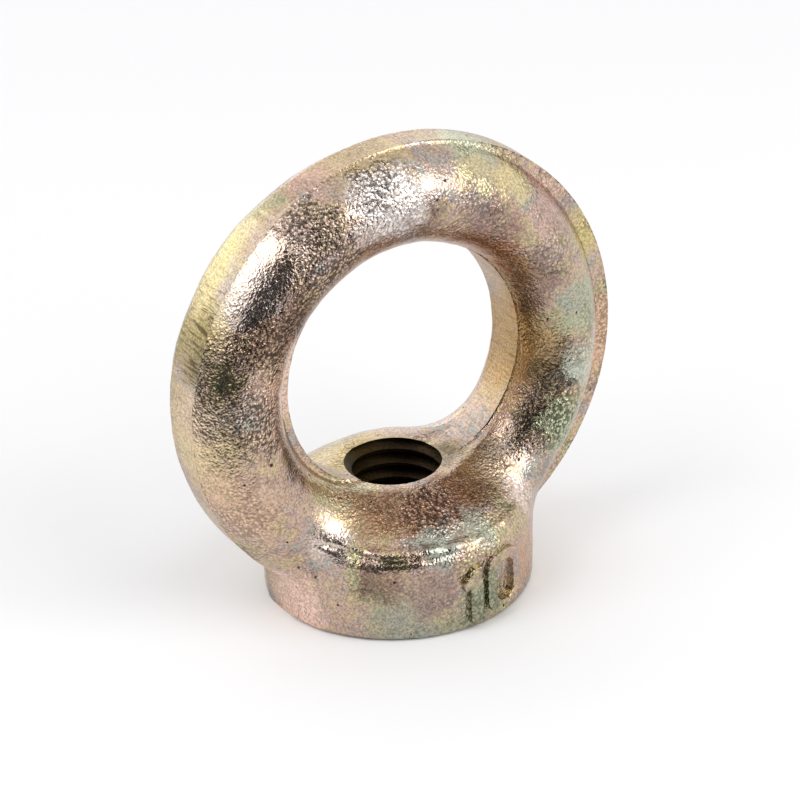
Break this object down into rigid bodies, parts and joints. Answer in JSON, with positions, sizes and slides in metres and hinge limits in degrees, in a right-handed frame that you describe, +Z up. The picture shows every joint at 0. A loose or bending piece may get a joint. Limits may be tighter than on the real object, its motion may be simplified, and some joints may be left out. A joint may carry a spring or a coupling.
{
  "type": "lifting eye nut",
  "caption": "Drop-forged lifting ring standing on a round boss and collar, tapped through for a stud, with the sheared flash line round its rim.",
  "frame": {"origin": "centre of the collar's seating face, on the thread's axis", "axes": "+Z up along the thread, from the seating face to the top of the ring; the ring stands in the XZ plane; Y is across the ring"},
  "size_m": [0.045, 0.0256, 0.045],
  "materials": {
    "yellow_zinc_steel": "yellow passivated zinc plate on forged steel, rough satin"
  },
  "bodies": {
    "root": {"eye_nut": "yellow_zinc_steel"}
  },
  "joints": []
}
